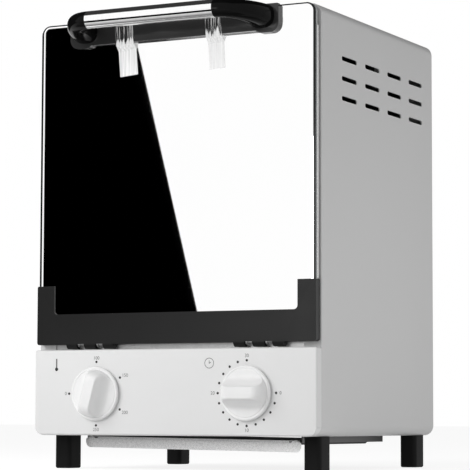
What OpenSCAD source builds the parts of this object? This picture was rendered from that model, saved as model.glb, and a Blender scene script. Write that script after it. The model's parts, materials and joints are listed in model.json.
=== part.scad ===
// Mini dry heat sterilizer: an upright oven with a glass door that is hinged along its lower edge.
// Millimetres, +Z up, +Y towards the back. The origin is on the bench, under the middle of the whole.
// The modules work in the housing's own frame: y = 0 is the control panel's face and z = 0 is the
// housing's underside. at_home() carries that frame to the origin.

/* [Housing] */
// Width of the housing
housing_w = 240; // [232:1:260]
// Depth from the control panel's face to the rear edge
housing_d = 221.5; // [216:0.5:240]
// Height of the housing without its feet
housing_h = 318; // [312:1:340]
// Thickness of the housing's sheet steel
sheet_t = 0.8; // [0.6:0.1:1]
// Outer radius of the long bends along the top and the bottom
bend_r = 8; // [6:0.5:9]
// Width of the front lip that is folded inwards round the door opening
front_lip = 14; // [12:0.5:15]
// Width of the lips that are folded inwards under the housing
bottom_lip = 21; // [20:0.5:22.5]
// Depth of the recess in which the back panel sits
back_recess = 3; // [2.6:0.2:5]

/* [Side vents] */
// Length of one slot
vent_l = 27.3; // [20:0.1:34]
// Height of one slot
vent_h = 3.5; // [2.5:0.1:5]
// Distance from one slot to the next along a row
vent_pitch = 42.8; // [38:0.1:44]
// Distance from one row to the next
vent_row_pitch = 15.05; // [10:0.05:20]
// Slots in a row
vent_cols = 4; // [2:1:4]
// Rows of slots
vent_rows = 3; // [1:1:4]
// Distance from the control panel's face to the first slot
vent_front = 44.4; // [30:0.1:50]
// Drop from the housing's top to the middle of the first row
vent_drop = 36; // [30:0.5:50]

/* [Control panel] */
// Height of the control panel
panel_h = 65; // [62:0.5:66]
// Depth of the control panel's pan
pan_depth = 8; // [7.6:0.1:9]
// Radius of the panel's lower corners
panel_low_r = 8; // [5:0.5:10]
// Radius of the panel's upper corners
panel_high_r = 2; // [1.6:0.1:4]
// Radius of the bend round the panel's face
panel_edge_r = 1.5; // [1:0.1:1.5]
// Height of both knobs' centres
knob_z = 31.6; // [29:0.1:33]
// Distance from the middle to the thermostat knob's centre
thermostat_x = 65; // [55:0.1:75]
// Distance from the middle to the timer knob's centre
timer_x = 63.3; // [55:0.1:75]

/* [Knobs] */
// Diameter of a knob
knob_d = 41; // [36:0.5:44]
// Distance that a knob stands out of the panel
knob_reach = 15.5; // [13:0.5:18]
// Depth of a knob's round side wall
knob_wall = 5; // [4:0.5:6]
// Width of a knob's grip along its crest
grip_w = 7; // [5:0.5:9]
// Radius of the hollow on each side of the grip
scoop_r = 15; // [12:0.5:20]
// Diameter of a control shaft
shaft_d = 6; // [5:0.5:6]
// Angle of the thermostat's pointer from its upright, clockwise
thermostat_turn = 20; // [0:1:40]
// Angle of the timer's pointer from its upright, clockwise
timer_turn = 90; // [60:1:120]

/* [Feet] */
// Height of a foot
foot_h = 25.5; // [22:0.5:30]
// Width of a foot
foot_w = 12.3; // [11:0.1:13]
// Depth of a foot
foot_l = 16.5; // [14:0.5:20]
// Radius of a foot's corners
foot_r = 3; // [2:0.5:4]
// Distance from the panel's face to the front feet's middles
foot_front = 27.3; // [24:0.1:32]
// Distance from the housing's rear edge to the rear feet's middles
foot_rear = 14.7; // [14.3:0.1:14.9]
// Distance from the housing's side to a foot's middle
foot_side = 12.65; // [12:0.05:12.7]
// Thread diameter of a foot's screw
foot_screw_d = 4; // [3:0.5:4]

/* [Chamber] */
// Distance from the housing's side to the chamber's inner side
chamber_side = 17; // [17:0.5:20]
// Height of the chamber's floor above the control panel's top
chamber_rise = 9; // [8:0.5:11]
// Drop of the chamber's ceiling below the housing's top
chamber_drop = 16; // [15.5:0.5:22]
// Space between the chamber's back and the back panel
chamber_rear = 15.3; // [15.3:0.1:22]
// Distance that a rack rail stands into the chamber
rail_reach = 7; // [5:0.5:8]
// Thickness of a rack rail
rail_t = 5; // [4:0.5:6]
// Height of the lowest rail above the chamber's floor
rail_first = 40; // [38:1:50]
// Drop of the highest rail below the chamber's ceiling
rail_last = 38; // [34:1:50]
// Rails on each side
rail_count = 4; // [3:1:4]
// Depth of the control space in front of the crumb well
control_depth = 62; // [60:1:66]

/* [Heaters] */
// Diameter of a heater's steel sheath
heater_d = 8; // [7:0.5:9]
// Distance of the front heaters behind the chamber's front
heater_front = 52; // [48:1:60]
// Distance of the rear heaters before the chamber's back
heater_rear = 52; // [40:1:70]
// Height of the lower heaters above the chamber's floor
heater_low = 16; // [14:0.5:18]
// Drop of the upper heaters below the chamber's ceiling
heater_high = 14; // [12:0.5:18]

/* [Door] */
// Distance from the trim's side to the glass's side
glass_side = 0.8; // [0.6:0.1:1.6]
// Thickness of the door's glass
glass_t = 4; // [3.6:0.1:4]
// Distance of the glass behind the control panel's face
glass_y = 2; // [1.8:0.1:2.2]
// Radius of the glass's upper corners
glass_r = 7.5; // [4:0.5:12]
// Drop of the glass's top edge below the housing's top
glass_drop = 0; // [0:0.5:4]
// Distance from the housing's side to the trim's side
trim_side = 1; // [0.6:0.1:2]
// Distance of the trim's face behind the control panel's face
trim_y = 1; // [0.8:0.1:1.1]
// Gap between the control panel and the trim
trim_gap = 4; // [3.8:0.1:4.4]
// Height of the trim's long lower rail
trim_h = 23.4; // [18:0.2:30]
// Height of the trim's two end risers
riser_h = 45.3; // [36:0.1:60]
// Width of an end riser
riser_w = 15; // [10:0.5:20]
// Thickness of the trim's back wall behind the glass
trim_back_t = 1.4; // [1.2:0.1:1.4]
// Width of the metal strip behind each side of the glass
strip_w = 9; // [6:0.5:12]
// Drop from the glass's top to the strips' tops
strip_drop = 17; // [12:0.5:24]

/* [Hinges] */
// Distance of the hinge axis behind the control panel's face
hinge_y = 4.6; // [4.5:0.1:4.7]
// Height of the hinge axis above the trim's lower edge
hinge_rise = 0.5; // [0.4:0.1:0.6]
// Radius of the door's knuckles
knuckle_r = 3.9; // [3.6:0.1:3.9]
// Diameter of a hinge pin
pin_d = 2.4; // [2:0.2:2.6]
// Length of one hinge, over its three knuckles
hinge_l = 41; // [39:0.5:45]
// Distance from the middle to the middle of a hinge
hinge_x = 72; // [62:0.5:80]
// Width of each gap between knuckles
knuckle_gap = 6.6; // [6.4:0.1:8]
// Thickness of a bracket's ear
ear_t = 1.5; // [1.2:0.1:1.6]

/* [Handle] */
// Distance between the ends of the steel grip
grip_l = 108; // [96:1:116]
// Diameter of the steel grip
grip_d = 13.6; // [12:0.2:15]
// Distance of the grip's axis in front of the control panel's face
grip_y = 34; // [30:0.5:38]
// Height of the grip's axis below the glass's top edge
grip_drop = 6; // [6:0.5:10]
// Half the width over the two arms, at their roots
arm_reach = 86; // [82:0.5:90]
// Width of an arm at its root
arm_root_w = 20.4; // [18:0.2:22]
// Height of an arm at its root
arm_root_h = 18; // [16:0.2:18.6]
// Width of the handle's base plate
plate_w = 179.4; // [176:0.2:186]
// Thickness of the handle's base plate
plate_t = 3.6; // [3:0.2:5]
// Height of the base plate at its middle
plate_h = 19.5; // [17:0.5:22]
// Height of the base plate at its two ends
plate_end_h = 21.5; // [19:0.5:24]
// Length of each deeper end of the base plate
plate_end_l = 21; // [18:0.5:24]
// Radius of the base plate's lower corners
plate_r = 7; // [4:0.5:8]

/* [Crumb tray] */
// Distance from the housing's side to the tray's front lip
lip_side = 27.5; // [27:0.5:31]
// Height of the tray's front lip
lip_h = 7.2; // [6:0.2:9]
// Distance of the lip behind the control panel's face
lip_y = 32; // [28:0.5:36]
// Length of the tray behind its lip
tray_l = 148; // [130:1:156]
// Depth of the tray's pan
tray_deep = 3.4; // [3:0.2:5]
// Angle at which the tray hangs in its loose rails
tray_droop = 0.8; // [0:0.1:1]

/* [Racks] */
// Space between the racks and the chamber's back
rack_rear = 8; // [5:1:20]
// Diameter of the rack's frame wire
rack_wire = 4; // [3:0.5:5]
// Diameter of the rack's cross wires
cross_wire = 2.5; // [2:0.5:3]
// Cross wires in the rack
cross_count = 9; // [6:1:12]
// Depth of the instrument tray
pan_deep = 20; // [14:1:26]

/* [Tape] */
// Distance from the middle to the left strip of tape
tape_left_x = 39.1; // [34:0.1:44]
// Distance from the middle to the right strip of tape
tape_right_x = 37.1; // [32:0.1:42]
// Width of the left strip
tape_left_w = 15.5; // [12:0.5:18]
// Width of the right strip
tape_right_w = 13.5; // [12:0.5:18]
// Length of the strips below the handle's base plate
tape_drop = 25.5; // [20:0.5:30]
// Thickness of the tape
tape_t = 0.12; // [0.1:0.01:0.2]

/* [Hidden] */

$fn = 48;
// Clearance between pieces that seat on one another
seat = 0.1;
// Clearance between pieces that move past one another
play = 0.4;
// Clearance under a rack that lies on its rails
rest_gap = 0.3;
// Distance from the chamber's front to the racks
rack_front = 6;
// Radial clearance of a shaft or a pin that turns in a hole
running = 0.06;
// A small overlap that lets a cutter pass right through
eps = 0.5;

housing_front = pan_depth;
flange_y = housing_front + sheet_t;
chamber_y = flange_y + sheet_t;
glass_top = housing_h - glass_drop;
glass_back = glass_y + glass_t;
trim_z = panel_h + trim_gap;
trim_back = glass_back + trim_back_t;
glass_low = trim_z + 5;
hinge_z = trim_z + hinge_rise;
grip_z = glass_top - grip_drop;
plate_top = grip_z + grip_d / 2;
handle_reach = grip_y + grip_d / 2;
washer_t = 0.5;
handle_screw_d = 3.2;
arm_thread = 10;
mount_t = 1.2;
bell_h = 8.4;
tab_half = 5;
home_y = (handle_reach - housing_d) / 2;
back_y = housing_d - back_recess;
chamber_w = housing_w - 2 * chamber_side;
half_chamber = chamber_w / 2;
chamber_floor = panel_h + chamber_rise;
chamber_top = housing_h - chamber_drop;
chamber_d = back_y - 2 * sheet_t - chamber_rear - chamber_y;
rail_pitch = (chamber_top - chamber_floor - rail_first - rail_last) / (rail_count - 1);
rack_d = chamber_d - rack_front - rack_rear;
foot_span = housing_w - 2 * foot_side;
trim_w = housing_w - 2 * trim_side;
glass_w = trim_w - 2 * glass_side;
lip_w = housing_w - 2 * lip_side;
rack_half = half_chamber - 1.5;
rack_y = chamber_y + rack_front;
base_half = housing_w / 2 - bend_r - 0.2;
base_back = back_y - 2 * sheet_t - seat;
well_y = chamber_y + control_depth;
tray_half = lip_w / 2 - 2;
tray_web = 8;
tray_t = 0.6;

// Carries the housing's frame to the part's own frame.
module at_home() {
    translate([0, home_y, foot_h]) children();
}

// Extrudes an outline in X and Z from y = front to y = back.
module along_y(front, back) {
    translate([0, back, 0]) rotate([90, 0, 0]) linear_extrude(back - front) children();
}

// Extrudes an outline in Y and Z from x = left to x = right.
module along_x(left, right) {
    translate([left, 0, 0]) rotate([90, 0, 90]) linear_extrude(right - left) children();
}

// A rod along X from x = left to x = right.
module rod_x(left, right, y, z, d) {
    translate([left, y, z]) rotate([0, 90, 0]) cylinder(h = right - left, d = d);
}

// A rod along Y from y = front to y = back.
module rod_y(front, back, x, z, d) {
    translate([x, back, z]) rotate([90, 0, 0]) cylinder(h = back - front, d = d);
}

// An outline that stands on the X axis, with its own radius for the lower and for the upper corners.
module rounded(w, h, low_r, high_r) {
    for (s = [-1, 1]) {
        translate([s * (w / 2 - low_r), low_r]) circle(low_r);
        translate([s * (w / 2 - high_r), h - high_r]) circle(high_r);
    }
    translate([-w / 2, low_r]) square([w, h - low_r - high_r]);
    translate([low_r - w / 2, 0]) square([w - 2 * low_r, h / 2]);
    translate([high_r - w / 2, h / 2]) square([w - 2 * high_r, h / 2]);
}

// A slot with round ends that runs through a side wall along X.
module side_slot(y, z, l, h) {
    rod_x(-housing_w / 2 - eps, housing_w / 2 + eps, y + h / 2, z, h);
    rod_x(-housing_w / 2 - eps, housing_w / 2 + eps, y + l - h / 2, z, h);
    translate([-housing_w / 2 - eps, y + h / 2, z - h / 2]) cube([housing_w + 2 * eps, l - h, h]);
}

// A slot with round ends that runs through a plate along Y.
module back_slot(x, z, l, h, front, back) {
    for (s = [-1, 1]) rod_y(front, back, x + s * (l - h) / 2, z, h);
    translate([x - (l - h) / 2, front, z - h / 2]) cube([l - h, back - front, h]);
}

// A slot with round ends that runs through a floor along Z, its length along Y.
module floor_slot(x, y, l, w, low, high) {
    for (s = [-1, 1]) translate([x, y + s * (l - w) / 2, low]) cylinder(h = high - low, d = w);
    translate([x - w / 2, y - (l - w) / 2, low]) cube([w, l - w, high - low]);
}

// A pan head screw along Y whose head's underside is at y = under and whose head points to the back.
module screw_back(x, z, under, d, l) {
    rod_y(under - l, under + 0.1, x, z, d);
    translate([x, under, z]) rotate([-90, 0, 0]) pan_head(d);
}

// A pan head that stands on z = 0, with a cross recess.
module pan_head(d) {
    head_h = 0.55 * d;
    difference() {
        union() {
            cylinder(h = head_h * 0.6, d = 1.9 * d);
            translate([0, 0, head_h * 0.6]) cylinder(h = head_h * 0.4, d1 = 1.9 * d, d2 = 1.3 * d);
        }
        for (a = [0, 90]) rotate(a) translate([-d / 2, -d / 8, head_h * 0.5]) cube([d, d / 4, head_h]);
    }
}

// A closed surface through rings of points that all have the same count.
module loft(rings) {
    n = len(rings[0]);
    m = len(rings);
    side_faces = [for (i = [0:m - 2], j = [0:n - 1], k = [0, 1])
        let (a = i * n + j, b = i * n + (j + 1) % n)
        k == 0 ? [a, b, b + n] : [a, b + n, a + n]];
    first_cap = [for (j = [1:n - 2]) [0, j + 1, j]];
    last_cap = [for (j = [1:n - 2]) [(m - 1) * n, (m - 1) * n + j, (m - 1) * n + j + 1]];
    polyhedron([for (r = rings) each r], concat(side_faces, first_cap, last_cap));
}

// Height that a place on the drooping tray gains over its level place.
function sag(x) = -x * tan(tray_droop);

// Outline of the housing, moved inwards all round.
module housing_outline(inset) {
    r = bend_r - inset;
    translate([0, inset]) rounded(housing_w - 2 * inset, housing_h - 2 * inset, r, r);
}

// Wrap of painted sheet steel: top, both sides and the lips that are folded in at every edge.
module outer_housing() {
    lip_back = back_y - sheet_t;
    at_home() color("gainsboro") difference() {
        union() {
            along_y(housing_front, housing_d) difference() {
                housing_outline(0);
                housing_outline(sheet_t);
            }
            along_y(housing_front, flange_y) difference() {
                housing_outline(0);
                translate([front_lip - housing_w / 2, -eps])
                    square([housing_w - 2 * front_lip, housing_h - front_lip + eps]);
            }
            along_y(lip_back - sheet_t, lip_back) difference() {
                housing_outline(0);
                translate([0, sheet_t + 10])
                    square([housing_w - 2 * front_lip, 2 * (housing_h - front_lip - 10)], center = true);
            }
        }
        translate([bottom_lip - housing_w / 2, housing_front - eps, -eps])
            cube([housing_w - 2 * bottom_lip, housing_d, sheet_t + 2 * eps]);
        for (row = [0:vent_rows - 1], col = [0:vent_cols - 1])
            side_slot(vent_front + col * vent_pitch, housing_h - vent_drop - row * vent_row_pitch,
                vent_l, vent_h);
        for (p = back_screw_places()) rod_y(lip_back - 3, lip_back + eps, p[0], p[1], 3.1);
        for (p = foot_places()) translate([p[0], p[1], -eps]) cylinder(h = 3, d = foot_screw_d + 0.2);
        for (s = [-1, 1], z = panel_screw_z())
            rod_y(housing_front - eps, flange_y + eps, s * panel_screw_x(), z, 3.1);
    }
}

// Places of the back panel's screws.
function back_screw_places() = [for (s = [-1, 1], z = [24, housing_h / 2, housing_h - 9])
    [s * (housing_w / 2 - 8), z]];

// Places of the feet's screws.
function foot_places() = [for (s = [-1, 1], y = [foot_front, housing_d - foot_rear])
    [s * foot_span / 2, y]];

// Places of the screws that hold the control panel's tabs.
function panel_screw_x() = housing_w / 2 - front_lip / 2 - 1;
function panel_screw_z() = [14, panel_h - 14];

// An outline that is w long and d deep, with its two front corners rounded.
module nosed(w, d, edge) {
    for (s = [-1, 1]) translate([s * (w / 2 - edge), edge]) circle(edge);
    translate([-w / 2, edge]) square([w, d - edge]);
    translate([edge - w / 2, 0]) square([w - 2 * edge, d]);
}

// A plate with its face at y = 0, whose face is bent over round every edge.
module bent_plate(w, h, low_r, high_r, edge, depth) {
    intersection() {
        along_y(0, depth) rounded(w, h, low_r, high_r);
        linear_extrude(h) nosed(w, depth, edge);
        along_x(-w / 2, w / 2) translate([0, h / 2]) mirror([1, 0]) rotate(90) nosed(h, depth, edge);
    }
}

// Painted pan that carries the controls, with its face bent over round every edge.
module control_panel() {
    at_home() color("white") difference() {
        bent_plate(housing_w, panel_h, panel_low_r, panel_high_r, panel_edge_r, pan_depth);
        along_y(sheet_t, pan_depth + eps) translate([0, sheet_t])
            rounded(housing_w - 2 * sheet_t, panel_h - 2 * sheet_t, panel_low_r - sheet_t,
                panel_high_r - sheet_t);
        rod_y(-eps, sheet_t + eps, -thermostat_x, knob_z, shaft_d + 3);
        rod_y(-eps, sheet_t + eps, timer_x, knob_z, shaft_d + 3);
    }
    at_home() color("white") for (s = [-1, 1], z = panel_screw_z()) panel_tab(s, z);
}

// A tab inside the pan's side wall, through which one screw holds the panel to the housing's lip.
module panel_tab(s, z) {
    x = s * panel_screw_x();
    w = housing_w / 2 - panel_screw_x() - sheet_t + tab_half;
    left = s > 0 ? x - tab_half : x - w + tab_half;
    difference() {
        translate([left, pan_depth - 2, z - tab_half]) cube([w, 2, 2 * tab_half]);
        rod_y(pan_depth - 2 - eps, pan_depth + eps, x, z, 2.6);
    }
}

// Screws that hold the control panel's tabs to the housing's lip, driven from inside.
module panel_screws() {
    at_home() color("silver") for (s = [-1, 1], z = panel_screw_z())
        screw_back(s * panel_screw_x(), z, flange_y, 2.5, 2.6);
}

// Rear cover: a flat sheet with vent slots, screw holes and the cord's hole.
module back_panel() {
    at_home() color("gainsboro") difference() {
        along_y(back_y - sheet_t, back_y) housing_outline(sheet_t + 0.3);
        for (row = [0:3], col = [-2:2])
            back_slot(col * 34, housing_h - 60 - row * 14, 24, vent_h, back_y - 3, back_y + eps);
        for (row = [0:1], col = [-1:1])
            back_slot(col * 34, 34 + row * 14, 24, vent_h, back_y - 3, back_y + eps);
        for (p = back_screw_places()) rod_y(back_y - 3, back_y + eps, p[0], p[1], 3.1);
        rod_y(back_y - 3, back_y + eps, cord_x(), cord_z(), cord_hole());
    }
}

// Place and size of the hole for the mains cord.
function cord_x() = housing_w / 2 - 30;
function cord_z() = 26;
function cord_hole() = 13;

// Screws of the back panel.
module back_screws() {
    at_home() color("silver") for (p = back_screw_places())
        screw_back(p[0], p[1], back_y, 3, 6);
}

// Bush that protects the mains cord where it leaves the back panel.
module cord_bush() {
    at_home() color("dimgray") translate([cord_x(), 0, cord_z()]) difference() {
        union() {
            rod_y(back_y - sheet_t - 2.4, back_y + 0.1, 0, 0, cord_hole() - 2 * seat);
            rod_y(back_y, back_y + 2, 0, 0, cord_hole() + 5);
            rod_y(back_y - sheet_t - 2.6, back_y - sheet_t - seat, 0, 0, cord_hole() + 3);
        }
        rod_y(back_y - 8, back_y + 8, 0, 0, 7);
    }
}

// Floor of the housing, open under the crumb well, with vent slots under the controls.
module base_plate() {
    front = flange_y + seat;
    at_home() color("silver") difference() {
        translate([-base_half, front, sheet_t])
            cube([2 * base_half, base_back - front, sheet_t]);
        translate([-tray_half + 5, well_y + 2, -eps])
            cube([2 * tray_half - 10, lip_y + tray_l - well_y - 14, 4]);
        for (x = [-72:12:72]) floor_slot(x, well_y - 20, 26, 4, -eps, 4);
        for (p = foot_places()) translate([p[0], p[1], -eps]) cylinder(h = 4, d = foot_screw_d + 0.2);
    }
}

// Aluminised liner: sides, back and ceiling, a front flange and the rails pressed into its sides.
module inner_chamber() {
    chamber_back = chamber_y + chamber_d;
    side = [[chamber_y, chamber_floor], [chamber_y, chamber_top], [chamber_back, chamber_top],
        [chamber_back, 2 * sheet_t + seat], [well_y, 2 * sheet_t + seat], [well_y, chamber_floor]];
    at_home() color("darkgray") difference() {
        union() {
            for (s = [-1, 1]) {
                left = s > 0 ? half_chamber : -half_chamber - sheet_t;
                along_x(left, left + sheet_t) polygon(side);
            }
            along_y(chamber_back, chamber_back + sheet_t) translate([0, 2 * sheet_t + seat])
                translate([-half_chamber - sheet_t, 0])
                    square([chamber_w + 2 * sheet_t, chamber_top + sheet_t - 2 * sheet_t - seat]);
            translate([-half_chamber - sheet_t, flange_y, chamber_top])
                cube([chamber_w + 2 * sheet_t, chamber_back - flange_y, sheet_t]);
            along_y(flange_y, chamber_y) difference() {
                translate([-half_chamber - 9, panel_h - 8])
                    square([chamber_w + 18, chamber_top - panel_h + 16]);
                translate([-half_chamber, chamber_floor])
                    square([chamber_w, chamber_top - chamber_floor]);
            }
            for (i = [0:rail_count - 1], s = [-1, 1]) rack_rail(s, rail_top(i));
        }
        for (z = [heater_low_z(), heater_high_z()], y = heater_places())
            rod_x(-housing_w, housing_w, chamber_y + y, z, heater_d + 8);
    }
}

// Height of a rail's upper face.
function rail_top(i) = chamber_floor + rail_first + i * rail_pitch;

// Heights of the heaters.
function heater_low_z() = chamber_floor + heater_low;
function heater_high_z() = chamber_top - heater_high;

// Distances of the heaters behind the chamber's front.
function heater_places() = [heater_front, chamber_d - heater_rear];

// One rail: a pressed ledge with a round underside, from the front of the chamber to its back.
module rack_rail(s, top) {
    back = chamber_y + chamber_d;
    along_y(chamber_y + 10, back) translate([s * half_chamber, top]) mirror([s > 0 ? 1 : 0, 0])
        difference() {
            translate([-sheet_t / 2, -rail_t]) square([rail_reach + sheet_t / 2, rail_t]);
            translate([rail_reach, -rail_t]) circle(rail_t - 1.5);
        }
}

// Bent sheet between the chamber and the controls: the chamber's front floor and the well's front wall.
module control_shield() {
    half = half_chamber - seat;
    at_home() color("darkgray") {
        along_x(-half, half) polygon([[chamber_y + seat, chamber_floor - sheet_t],
            [chamber_y + seat, chamber_floor], [well_y, chamber_floor],
            [well_y, 2 * sheet_t + seat], [well_y - 9, 2 * sheet_t + seat],
            [well_y - 9, 3 * sheet_t + seat], [well_y - sheet_t, 3 * sheet_t + seat],
            [well_y - sheet_t, chamber_floor - sheet_t]]);
    }
}

// A sheathed heater that crosses the chamber, with a terminal stud at each end.
module heater(y, z) {
    end = half_chamber + 6;
    at_home() color("dimgray") {
        rod_x(-end, end, chamber_y + y, z, heater_d);
        rod_x(-end - 4, end + 4, chamber_y + y, z, 3);
    }
}

module heater_upper_front() heater(heater_places()[0], heater_high_z());
module heater_upper_rear() heater(heater_places()[1], heater_high_z());
module heater_lower_front() heater(heater_places()[0], heater_low_z());
module heater_lower_rear() heater(heater_places()[1], heater_low_z());

// Ceramic bushes that carry the heaters in the chamber's side walls.
module heater_bushes() {
    at_home() color("white")
        for (s = [-1, 1], z = [heater_low_z(), heater_high_z()], y = heater_places())
            translate([0, chamber_y + y, z]) mirror([s > 0 ? 0 : 1, 0, 0]) difference() {
                union() {
                    rod_x(half_chamber - 3, half_chamber + 5, 0, 0, heater_d + 8 - 2 * seat);
                    rod_x(half_chamber - 3, half_chamber - seat, 0, 0, heater_d + 12);
                }
                rod_x(half_chamber - 4, half_chamber + 6, 0, 0, heater_d + 2 * seat);
            }
}

// Thermostat switch: a ceramic block with its threaded nose, fixing plate and terminals.
module thermostat_body() {
    at_home() color("tan") translate([-thermostat_x, sheet_t + seat, knob_z]) difference() {
        union() {
            translate([-17, 0, -8]) cube([34, mount_t, 16]);
            translate([-13, mount_t, -12]) cube([26, 20, 24]);
            rod_y(mount_t + 20, mount_t + 24, 0, 0, 14);
            for (x = [-9, 0, 9]) translate([x - 2.4, 21, -10]) cube([4.8, 9, 0.8]);
        }
        rod_y(-1, 16, 0, 0, shaft_d + 2 * running);
    }
}

// Clockwork timer: a round movement between two plates, with its fixing ears and terminals.
module timer_body() {
    at_home() color("silver") translate([timer_x, sheet_t + seat, knob_z]) difference() {
        union() {
            rod_y(0, mount_t, 0, 0, 44);
            rod_y(mount_t, timer_rear() - mount_t, 0, 0, 38);
            rod_y(timer_rear() - mount_t, timer_rear(), 0, 0, 42);
            rod_y(timer_rear(), timer_rear() + bell_h, 0, 0, 5);
            translate([-17, 8, -23]) cube([8, 12, 8]);
            for (x = [-15.8, -12]) translate([x, 10, -28.5]) cube([0.8, 5, 6.5]);
        }
        rod_y(-1, 16, 0, 0, shaft_d + 2 * running);
    }
}

// Rear face of the timer's movement, behind the panel.
function timer_rear() = 23.2;

// The timer's bell: a thin dome on the movement's rear post.
module timer_bell() {
    dome_r = 20;
    dome_drop = 13;
    base = sheet_t + seat + timer_rear() + 0.6;
    at_home() color("gold") translate([timer_x, base, knob_z]) rotate([-90, 0, 0])
        rotate_extrude() difference() {
            intersection() {
                translate([0, -dome_drop]) circle(dome_r);
                translate([2.6, 0]) square([dome_r, dome_r]);
            }
            translate([0, -dome_drop]) circle(dome_r - 0.8);
        }
}

// A control shaft with a flat on its front end.
module control_shaft(x, turn) {
    at_home() color("silver") translate([x, 0, knob_z]) rotate([0, turn, 0]) difference() {
        rod_y(shaft_front(), sheet_t + seat + 15, 0, 0, shaft_d);
        translate([shaft_d / 2 - 1.2, shaft_front() - eps, -shaft_d])
            cube([shaft_d, 9 + eps, 2 * shaft_d]);
    }
}

// Front end of both control shafts.
function shaft_front() = 4 - knob_reach;

module thermostat_shaft() control_shaft(-thermostat_x, thermostat_turn);
module timer_shaft() control_shaft(timer_x, timer_turn);

// A moulded knob: a round pan with a raised grip between two hollows, and a socket with a flat.
module control_knob(x, turn) {
    r = knob_d / 2;
    back = -0.6;
    edge = 1.6;
    rise = knob_reach + back - knob_wall;
    grip = grip_w / 2 + scoop_r;
    at_home() color("whitesmoke") translate([x, 0, knob_z]) rotate([0, turn, 0]) difference() {
        translate([0, back, 0]) rotate([90, 0, 0]) rotate_extrude() polygon(concat(
            [[0, 0], [r - edge / 2, 0], [r, edge / 2]],
            [for (a = [0:15:90]) [r - edge + edge * cos(a), knob_wall - edge + edge * sin(a)]],
            [for (a = [0:10:60]) [(r - 2.4) * cos(a), knob_wall + rise * sin(1.5 * a)]],
            [[0, knob_wall + rise]]));
        for (s = [-1, 1]) translate([s * grip, back - knob_wall - scoop_r, 0])
            cylinder(h = knob_d, r = scoop_r, center = true);
        difference() {
            rod_y(shaft_front() - seat, 1, 0, 0, shaft_d + 2 * seat);
            translate([shaft_d / 2 - 1.2 + seat, shaft_front() - 2, -shaft_d])
                cube([shaft_d, 10.8, 2 * shaft_d]);
        }
    }
}

module thermostat_knob() control_knob(-thermostat_x, thermostat_turn);
module timer_knob() control_knob(timer_x, timer_turn);

// Block that joins the mains cord to the inner wiring, on the floor between the controls.
module terminal_block() {
    at_home() color("ivory") translate([-18, flange_y + 5, 2 * sheet_t]) difference() {
        union() {
            cube([36, 16, 4]);
            for (x = [1, 13, 25]) translate([x, 1, 0]) cube([10, 14, 12]);
        }
        for (x = [6, 18, 30]) {
            translate([x, 8, 4]) cylinder(h = 9, d = 4);
            translate([x, -1, 7]) rotate([-90, 0, 0]) cylinder(h = 20, d = 3);
        }
    }
}

// A rubber foot, hollow from below to take the head of its screw.
module foot(x, y) {
    w = foot_w - 2 * foot_r;
    l = foot_l - 2 * foot_r;
    at_home() color("black") translate([x, y, -foot_h]) difference() {
        union() {
            for (sx = [-1, 1], sy = [-1, 1]) translate([sx * w / 2, sy * l / 2, 0]) {
                cylinder(h = 1, r1 = foot_r - 0.8, r2 = foot_r);
                translate([0, 0, 1]) cylinder(h = foot_h - 1, r = foot_r);
            }
            translate([-foot_w / 2, -l / 2, 1]) cube([foot_w, l, foot_h - 1]);
            translate([-w / 2, -foot_l / 2, 1]) cube([w, foot_l, foot_h - 1]);
            translate([0.8 - foot_w / 2, -l / 2, 0]) cube([foot_w - 1.6, l, 2]);
            translate([-w / 2, 0.8 - foot_l / 2, 0]) cube([w, foot_l - 1.6, 2]);
        }
        translate([0, 0, -eps]) cylinder(h = foot_h - 9 + eps, d = 2.1 * foot_screw_d);
        cylinder(h = foot_h + eps, d = foot_screw_d + 0.2);
    }
}

module foot_front_left() foot(-foot_span / 2, foot_front);
module foot_front_right() foot(foot_span / 2, foot_front);
module foot_rear_left() foot(-foot_span / 2, housing_d - foot_rear);
module foot_rear_right() foot(foot_span / 2, housing_d - foot_rear);

// Screws that come up through the feet.
module foot_screws() {
    at_home() color("silver") for (p = foot_places()) translate([p[0], p[1], -9]) {
        cylinder(h = 14.4, d = foot_screw_d);
        mirror([0, 0, 1]) pan_head(foot_screw_d);
    }
}

// Nuts on the feet's screws, on the floor inside the housing.
module foot_nuts() {
    at_home() color("silver") for (p = foot_places()) translate([p[0], p[1], 2 * sheet_t]) difference() {
        rotate(30) cylinder(h = 3.2, d = 2 * foot_screw_d, $fn = 6);
        translate([0, 0, -eps]) cylinder(h = 5, d = foot_screw_d + 0.04);
    }
}

// Rail that hangs from the floor and carries one edge of the crumb tray.
module tray_rail(s) {
    web_x = lip_w / 2 - 0.8;
    ledge_x = web_x - tray_web;
    ledge_z = min(sag(s * web_x), sag(s * ledge_x)) - tray_drop() - tray_t - play;
    at_home() color("silver") mirror([s > 0 ? 0 : 1, 0, 0])
        along_y(lip_y + 1.6, lip_y + tray_l + 2) polygon([
            [web_x + 4.8, sheet_t], [web_x + 4.8, 0], [web_x + sheet_t, 0],
            [web_x + sheet_t, ledge_z - sheet_t], [ledge_x, ledge_z - sheet_t], [ledge_x, ledge_z],
            [web_x, ledge_z], [web_x, sheet_t]]);
}

// Drop of the level tray's rim below the housing.
function tray_drop() = 1.9;

module tray_rail_left() tray_rail(-1);
module tray_rail_right() tray_rail(1);

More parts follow.
